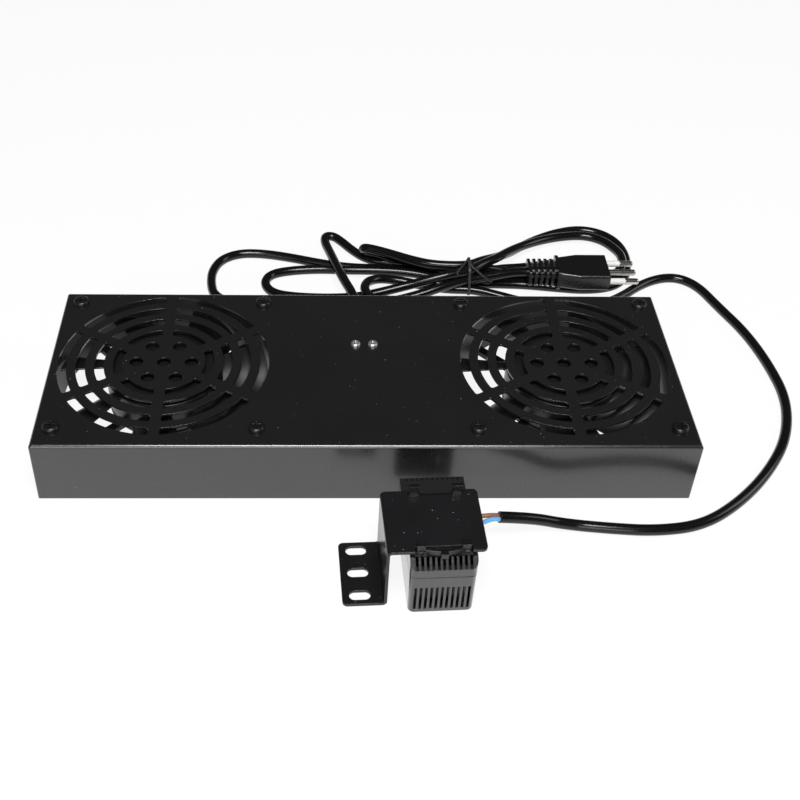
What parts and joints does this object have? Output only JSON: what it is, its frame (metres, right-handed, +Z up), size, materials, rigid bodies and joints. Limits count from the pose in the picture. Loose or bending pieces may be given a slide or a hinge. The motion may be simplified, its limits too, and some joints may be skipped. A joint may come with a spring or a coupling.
{
  "type": "rack fan tray",
  "caption": "Black steel fan tray for a network cabinet: grilled axial fans, a mains cord with its plug, and a rail-mounted thermostat on a cable.",
  "frame": {"origin": "on the floor, under the middle of the footprint of the casing with its strain relief and the thermostat on its bracket", "axes": "+X along the casing to the right in the picture, +Y from the thermostat towards the back of the casing where the cords leave, +Z up through the grilles"},
  "size_m": [0.4208, 0.3285, 0.0436],
  "materials": {
    "black_powder_coat": "satin",
    "black_bracket_steel": "satin",
    "fan_frame_black": "matt",
    "impeller_plastic": "satin",
    "rotor_steel": "satin",
    "bright_steel": "polished",
    "laminated_steel": "matt",
    "enamelled_copper": "gloss",
    "black_steel_screws": "satin",
    "zinc_plated_steel": "satin",
    "terminal_plastic": "satin",
    "brass_contacts": "satin",
    "black_cord_jacket": "satin",
    "black_moulding": "satin",
    "brown_core_jacket": "gloss",
    "blue_core_jacket": "gloss",
    "thermostat_plastic": "satin",
    "dial_plastic": "satin",
    "bimetal": "satin",
    "nickel_plated_pins": "polished",
    "pin_sleeve_plastic": "satin",
    "tie_plastic": "satin"
  },
  "bodies": {
    "tray": {"bimetal_strip": "bimetal", "blue_core": "blue_core_jacket", "brown_core": "brown_core_jacket", "cable_grommet": "black_cord_jacket", "cord_tie": "tie_plastic", "left_bearings": "bright_steel", "left_fan_frame": "fan_frame_black", "left_fan_nuts": "zinc_plated_steel", "left_fan_screws": "black_steel_screws", "left_stator_core": "laminated_steel", "left_windings": "enamelled_copper", "plug_body": "black_moulding", "plug_earth_pin": "nickel_plated_pins", "plug_lead": "black_cord_jacket", "plug_line_pins": "nickel_plated_pins", "plug_pin_sleeves": "pin_sleeve_plastic", "power_cord_hank": "black_cord_jacket", "power_cord_lead": "black_cord_jacket", "power_strain_relief": "black_moulding", "rail_clip": "thermostat_plastic", "right_bearings": "bright_steel", "right_fan_frame": "fan_frame_black", "right_fan_nuts": "zinc_plated_steel", "right_fan_screws": "black_steel_screws", "right_stator_core": "laminated_steel", "right_windings": "enamelled_copper", "switch_base": "terminal_plastic", "terminal_block": "terminal_plastic", "terminal_block_nuts": "zinc_plated_steel", "terminal_block_screws": "zinc_plated_steel", "terminal_clamp_screws": "zinc_plated_steel", "terminal_inserts": "brass_contacts", "thermostat_back_shell": "thermostat_plastic", "thermostat_bracket": "black_bracket_steel", "thermostat_cable": "black_cord_jacket", "thermostat_cover": "thermostat_plastic", "tray_casing": "black_powder_coat", "wire_clamp_screws": "zinc_plated_steel", "wire_clamps": "brass_contacts"},
    "left_rotor": {"left_impeller": "impeller_plastic", "left_rotor_cup": "rotor_steel", "left_shaft": "bright_steel", "left_shaft_clip": "bright_steel"},
    "right_rotor": {"right_impeller": "impeller_plastic", "right_rotor_cup": "rotor_steel", "right_shaft": "bright_steel", "right_shaft_clip": "bright_steel"},
    "dial": {"thermostat_dial": "dial_plastic", "dial_spindle": "dial_plastic"}
  },
  "joints": [
    {"name": "left_fan_spin", "type": "hinge", "parent": "tray", "child": "left_rotor", "pos_m": [-0.11, 0.02953, 0.024], "axis": [0, 0, 1], "continuous": true},
    {"name": "right_fan_spin", "type": "hinge", "parent": "tray", "child": "right_rotor", "pos_m": [0.11, 0.02953, 0.024], "axis": [0, 0, 1], "continuous": true},
    {"name": "thermostat_dial_turn", "type": "hinge", "parent": "tray", "child": "dial", "pos_m": [0.0322, -0.09095, 0.003], "axis": [0, 0, 1], "range_deg": [0, 270]}
  ]
}
